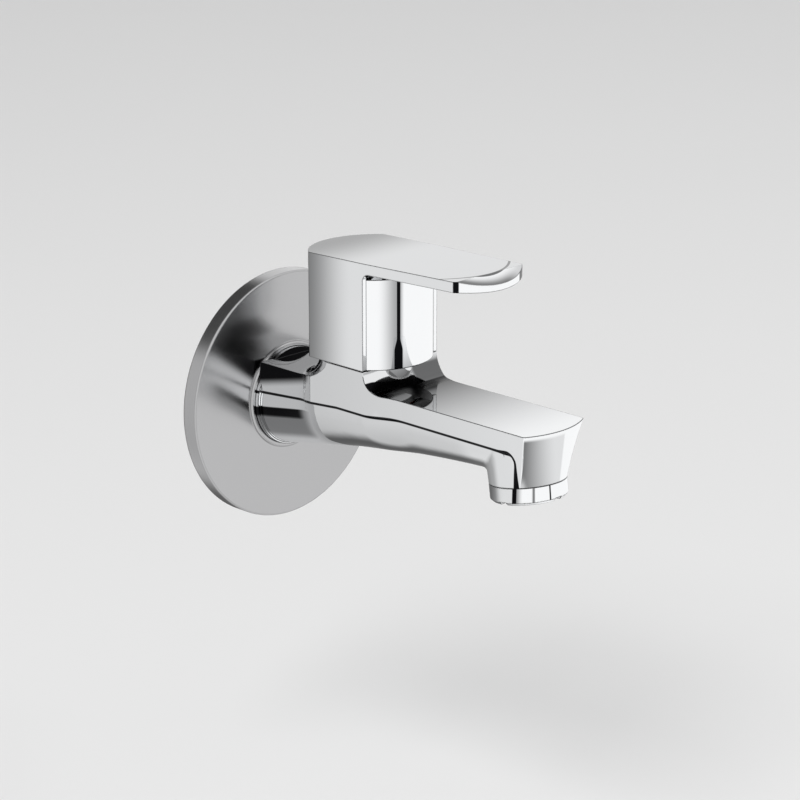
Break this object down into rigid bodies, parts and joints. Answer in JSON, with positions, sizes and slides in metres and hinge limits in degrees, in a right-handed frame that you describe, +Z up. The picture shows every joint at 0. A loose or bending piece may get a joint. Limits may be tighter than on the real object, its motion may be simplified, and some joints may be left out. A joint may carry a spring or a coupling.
{
  "type": "bib tap",
  "caption": "Chrome wall-mounted bib tap with a flat quarter-turn lever over a tapering spout, a round wall flange and a small aerator outlet.",
  "frame": {"origin": "on the inlet's axis, in the plane of the wall that the flange covers", "axes": "+Z up, +Y into the wall along the inlet, -Y the way the spout points, +X to the right of a person who faces the tap"},
  "size_m": [0.075, 0.1289, 0.0893],
  "materials": {
    "chrome_plate": "polished",
    "bare_brass": "machined",
    "black_rubber": "matt",
    "white_ceramic": "lapped",
    "red_fibre": "matt",
    "white_slip_plastic": "matt",
    "spring_steel": "bright",
    "grey_plastic": "satin"
  },
  "bodies": {
    "tap": {"tap_body": "chrome_plate", "wall_flange": "chrome_plate", "flange_grip_ring": "black_rubber", "cartridge_housing": "bare_brass", "shoulder_washer": "red_fibre", "base_seal": "black_rubber", "fixed_disc": "white_ceramic", "aerator_rim": "chrome_plate", "aerator_grid": "grey_plastic", "aerator_core": "white_slip_plastic", "aerator_screen": "spring_steel", "aerator_washer": "black_rubber"},
    "lever": {"lever_handle": "chrome_plate", "lever_insert": "chrome_plate", "spline_adapter": "grey_plastic", "lever_screw": "spring_steel", "screw_cap": "grey_plastic", "spindle": "bare_brass", "thrust_washer": "white_slip_plastic", "spindle_seal_rings": "black_rubber", "retaining_clip": "spring_steel", "moving_disc": "white_ceramic"}
  },
  "joints": [
    {"name": "lever_turn", "type": "hinge", "parent": "tap", "child": "lever", "pos_m": [0, -0.0404, 0.0197], "axis": [0, 0, 1], "range_deg": [0, 90]}
  ]
}
